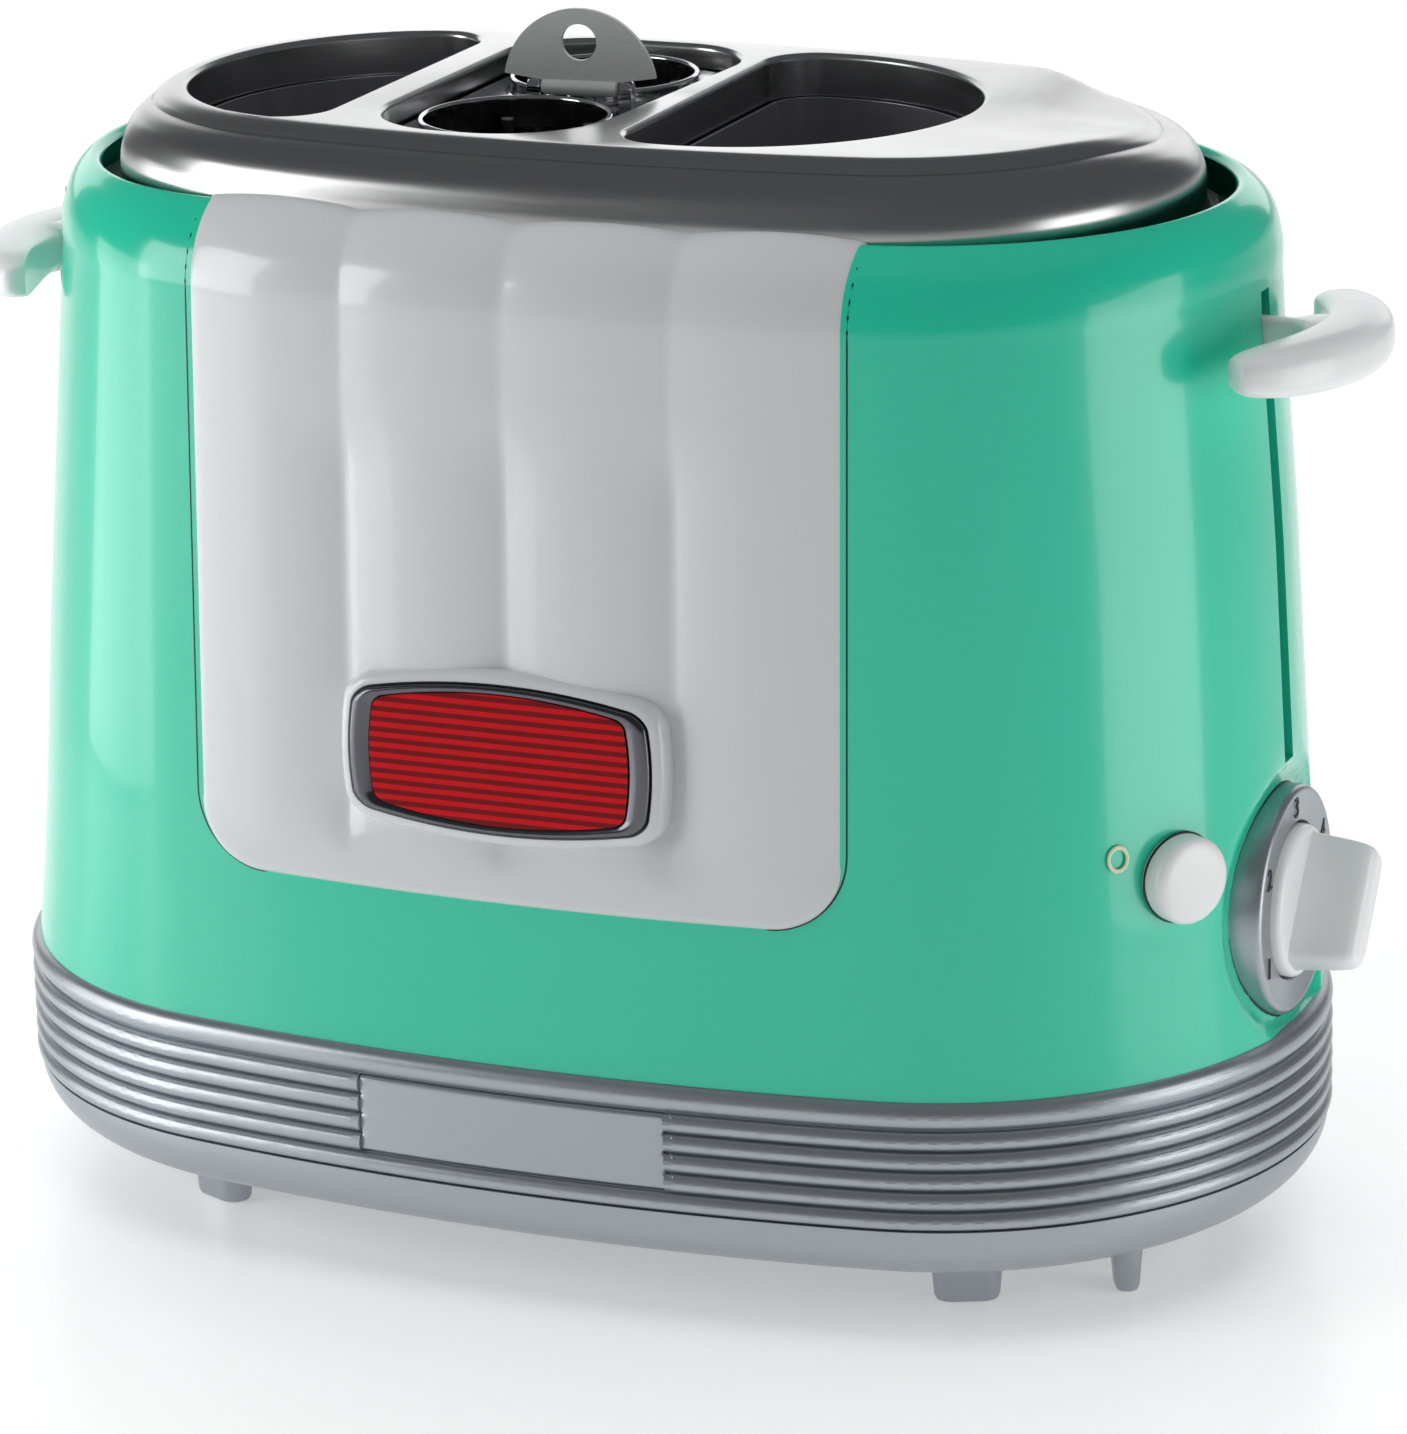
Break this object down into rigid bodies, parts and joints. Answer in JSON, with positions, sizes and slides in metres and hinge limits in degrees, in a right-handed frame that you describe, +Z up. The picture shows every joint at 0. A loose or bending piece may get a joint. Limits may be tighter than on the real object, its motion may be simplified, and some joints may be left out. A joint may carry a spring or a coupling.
{
  "type": "hot dog toaster",
  "caption": "Oval hot dog toaster with bun wells, a lift-out sausage basket with a folding tab, twin end levers, a timer knob, a stop button and a crumb tray.",
  "frame": {"origin": "centre of the overall box at the underside of the feet", "axes": "+X along the body towards the timer dial, -Y towards the badge panel, +Z up"},
  "size_m": [0.28, 0.1499, 0.2227],
  "materials": {
    "satin_metal": "satin silver finish",
    "zinc": "plain zinc-coated sheet",
    "mint_plastic": "glossy mint green",
    "pale_plastic": "glossy pale grey-white",
    "dark_chrome": "dark chrome plating",
    "red_plastic": "glossy striped red",
    "brushed_steel": "brushed and polished steel sheet",
    "rod_steel": "bright drawn steel",
    "copper": "varnished copper winding",
    "board_green": "green circuit board",
    "black_plastic": "matt black",
    "bush_plastic": "natural moulded bush",
    "white_plastic": "smooth white",
    "mica": "pale brown mica sheet",
    "ribbon": "oxidised resistance ribbon"
  },
  "bodies": {
    "housing": {"base_pan": "satin_metal", "base_ring": "satin_metal", "nameplate": "satin_metal", "feet": "satin_metal", "end_feet": "satin_metal", "base_screws": "zinc", "chassis_plate": "zinc", "body_shell": "mint_plastic", "front_panel": "pale_plastic", "badge_bezel": "dark_chrome", "badge_insert": "red_plastic", "top_cover": "brushed_steel", "upper_plate": "zinc", "bun_liner_left": "zinc", "bun_liner_right": "zinc", "basket_guides": "zinc", "board_outer_left": "mica", "board_inner_left": "mica", "board_inner_right": "mica", "board_outer_right": "mica", "heater_outer_left": "ribbon", "heater_inner_left": "ribbon", "heater_inner_right": "ribbon", "heater_outer_right": "ribbon", "heat_shield_left": "zinc", "heat_shield_right": "zinc", "guide_rod_left": "rod_steel", "guide_rod_right": "rod_steel", "return_spring_left": "rod_steel", "return_spring_right": "rod_steel", "electromagnet": "copper", "control_board": "board_green", "timer_pot": "zinc", "terminal_block": "pale_plastic", "cord_gland": "black_plastic", "dial_ring": "satin_metal", "button_guide": "pale_plastic", "button_spring": "rod_steel"},
    "tray": {"crumb_tray": "zinc"},
    "carriage": {"carriage_frame": "zinc", "armature": "rod_steel", "bun_rest_left": "zinc", "bun_rest_right": "zinc", "bush_left": "bush_plastic", "bush_right": "bush_plastic", "lever_left": "white_plastic", "lever_right": "white_plastic"},
    "basket": {"basket_flange": "brushed_steel", "cage_rods": "rod_steel", "cage_hoops_front": "rod_steel", "cage_hoops_back": "rod_steel", "cage_floor": "rod_steel", "tab_pin": "rod_steel"},
    "tab": {"lifting_tab": "brushed_steel"},
    "knob": {"timer_knob": "white_plastic", "timer_shaft": "rod_steel"},
    "button": {"stop_button": "white_plastic"}
  },
  "joints": [
    {"name": "carriage_slide", "type": "slide", "parent": "housing", "child": "carriage", "axis": [0, 0, 1], "range_m": [-0.072, 0.004], "stiffness_N_per_m": 150, "springref_m": 0.015, "deforming": ["return_spring_left", "return_spring_right"]},
    {"name": "basket_lift", "type": "slide", "parent": "housing", "child": "basket", "axis": [0, 0, 1], "range_m": [0, 0.16]},
    {"name": "tab_hinge", "type": "hinge", "parent": "basket", "child": "tab", "pos_m": [-0.0134, 0, 0.20815], "axis": [0.9954, 0.0958, 0], "range_deg": [-88, 0]},
    {"name": "timer_turn", "type": "hinge", "parent": "housing", "child": "knob", "pos_m": [0.11, 0, 0.06765], "axis": [-1, 0, 0], "range_deg": [0, 264]},
    {"name": "stop_press", "type": "slide", "parent": "housing", "child": "button", "axis": [-0.8545, 0.5195, 0], "range_m": [0, 0.003], "stiffness_N_per_m": 300, "springref_m": -0.002},
    {"name": "tray_pull", "type": "slide", "parent": "housing", "child": "tray", "axis": [0, 1, 0], "range_m": [0, 0.11]}
  ]
}
